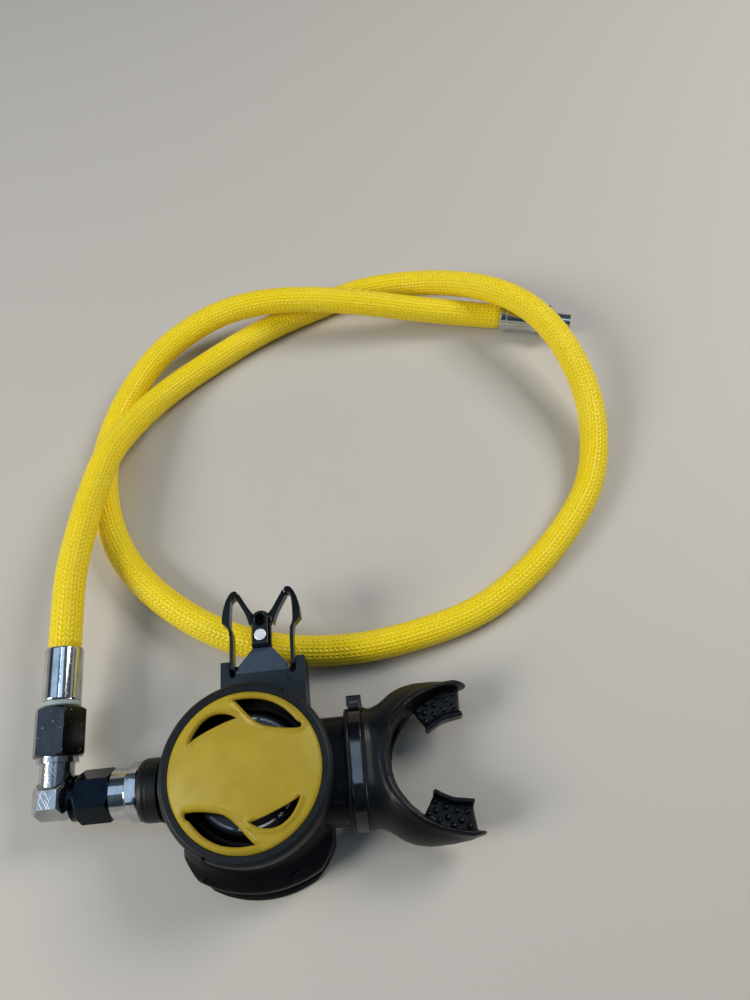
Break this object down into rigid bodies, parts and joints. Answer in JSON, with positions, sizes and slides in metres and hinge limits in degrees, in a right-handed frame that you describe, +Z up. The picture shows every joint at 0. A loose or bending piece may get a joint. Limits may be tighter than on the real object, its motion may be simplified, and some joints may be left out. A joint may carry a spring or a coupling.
{
  "type": "diving regulator second stage",
  "caption": "Round second-stage regulator with purge cover, exhaust hood, bite mouthpiece, swivel elbow and a braided hose laid in a loose loop.",
  "frame": {"origin": "on the drum's axis, at the surface the set lies on", "axes": "+X along the inlet and mouthpiece axis towards the mouthpiece, +Y towards the holder clip, +Z up through the purge cover"},
  "size_m": [0.2527, 0.2918, 0.0439],
  "materials": {
    "case_plastic": "fine satin moulding",
    "flap_silicone": "smooth",
    "ring_plastic": "satin",
    "inner_plastic": "satin",
    "yellow_plastic": "soft satin yellow",
    "diaphragm_rubber": "matt",
    "plate_plastic": "smooth",
    "lever_steel": "bright",
    "chromed_brass": "polished, hairline scratches",
    "bare_brass": "turned",
    "o_ring_rubber": "matt",
    "poppet_plastic": "smooth",
    "black_chrome": "dark glossy plating",
    "grey_chrome": "grey plating with scratches",
    "gasket_plastic": "satin",
    "yellow_braid": "herringbone braid",
    "mouth_silicone": "satin silicone",
    "tie_nylon": "glossy",
    "clip_plastic": "satin",
    "clip_plate_plastic": "speckled grain",
    "prong_plastic": "glossy",
    "rivet_metal": "bright"
  },
  "bodies": {
    "hose_side": {"elbow": "chromed_brass", "swivel_o_ring": "o_ring_rubber", "hose_stem": "chromed_brass", "hose_stem_o_ring": "o_ring_rubber", "hose_gasket": "gasket_plastic", "near_ferrule": "chromed_brass", "hose": "yellow_braid", "far_ferrule": "chromed_brass", "far_fitting": "chromed_brass", "far_o_ring": "o_ring_rubber"},
    "coupling_nut": {"coupling_nut": "black_chrome"},
    "hose_nut": {"hose_nut": "grey_chrome"},
    "case": {"case_shell": "case_plastic", "exhaust_cover": "case_plastic", "cover_ring": "ring_plastic", "slip_washer": "inner_plastic", "diaphragm": "diaphragm_rubber", "lever_pin": "lever_steel", "inlet_barrel": "chromed_brass", "barrel_nut": "chromed_brass", "inlet_collar": "ring_plastic", "orifice": "bare_brass", "orifice_o_ring": "o_ring_rubber", "mouthpiece": "mouth_silicone", "mouthpiece_tie": "tie_nylon", "clip_bracket": "clip_plastic", "clip_plate": "clip_plate_plastic", "clip_yoke": "prong_plastic", "clip_rivet": "rivet_metal"},
    "exhaust_valve": {"exhaust_valve": "flap_silicone"},
    "purge_cover": {"purge_cover": "yellow_plastic"},
    "diaphragm_plate": {"diaphragm_plate": "plate_plastic"},
    "demand_lever": {"demand_lever": "lever_steel"},
    "poppet": {"poppet": "poppet_plastic", "poppet_seat": "o_ring_rubber", "poppet_lock_nut": "lever_steel", "poppet_spring": "lever_steel"},
    "prong_left": {"clip_prong_left": "prong_plastic"},
    "prong_right": {"clip_prong_right": "prong_plastic"}
  },
  "joints": [
    {"name": "swivel", "type": "hinge", "parent": "hose_side", "child": "case", "pos_m": [-0.067, 0, 0.016], "axis": [1, 0, 0], "range_deg": [0, 300]},
    {"name": "coupling_nut_turn", "type": "hinge", "parent": "hose_side", "child": "coupling_nut", "pos_m": [-0.06, 0, 0.016], "axis": [1, 0, 0], "continuous": true},
    {"name": "hose_nut_turn", "type": "hinge", "parent": "hose_side", "child": "hose_nut", "pos_m": [-0.076, 0.02391, 0.01809], "axis": [0, 0.9962, 0.0872], "continuous": true},
    {"name": "purge_press", "type": "slide", "parent": "case", "child": "purge_cover", "axis": [0, 0, -1], "range_m": [0, 0.0025], "stiffness_N_per_m": 300, "springref_m": -0.002},
    {"name": "plate_press", "type": "slide", "parent": "case", "child": "diaphragm_plate", "axis": [0, 0, -1], "range_m": [0, 0.0025], "deforming": ["diaphragm"]},
    {"name": "lever_tilt", "type": "hinge", "parent": "case", "child": "demand_lever", "pos_m": [-0.0044, 0, 0.0114], "axis": [0, 1, 0], "range_deg": [0, 12.7]},
    {"name": "poppet_open", "type": "slide", "parent": "case", "child": "poppet", "axis": [1, 0, 0], "range_m": [0, 0.0015], "deforming": ["poppet_spring"]},
    {"name": "exhaust_lift", "type": "slide", "parent": "case", "child": "exhaust_valve", "axis": [0, 0, -1], "range_m": [0, 0.0012], "stiffness_N_per_m": 20, "springref_m": -0.001},
    {"name": "prong_left_flex", "type": "hinge", "parent": "case", "child": "prong_left", "pos_m": [-0.0052, 0.0688, 0.0285], "axis": [0, 0, 1], "range_deg": [0, 2.5], "stiffness_Nm_per_rad": 0.02, "springref_deg": -1.72},
    {"name": "prong_right_flex", "type": "hinge", "parent": "case", "child": "prong_right", "pos_m": [0.016, 0.0688, 0.0285], "axis": [0, 0, -1], "range_deg": [0, 2.5], "stiffness_Nm_per_rad": 0.02, "springref_deg": -1.72}
  ],
  "couplings": [
    {"joint": "plate_press", "follows": "purge_press", "ratio": 1},
    {"joint": "lever_tilt", "follows": "purge_press", "rad_per_m": 87.72},
    {"joint": "poppet_open", "follows": "purge_press", "ratio": 0.6}
  ]
}
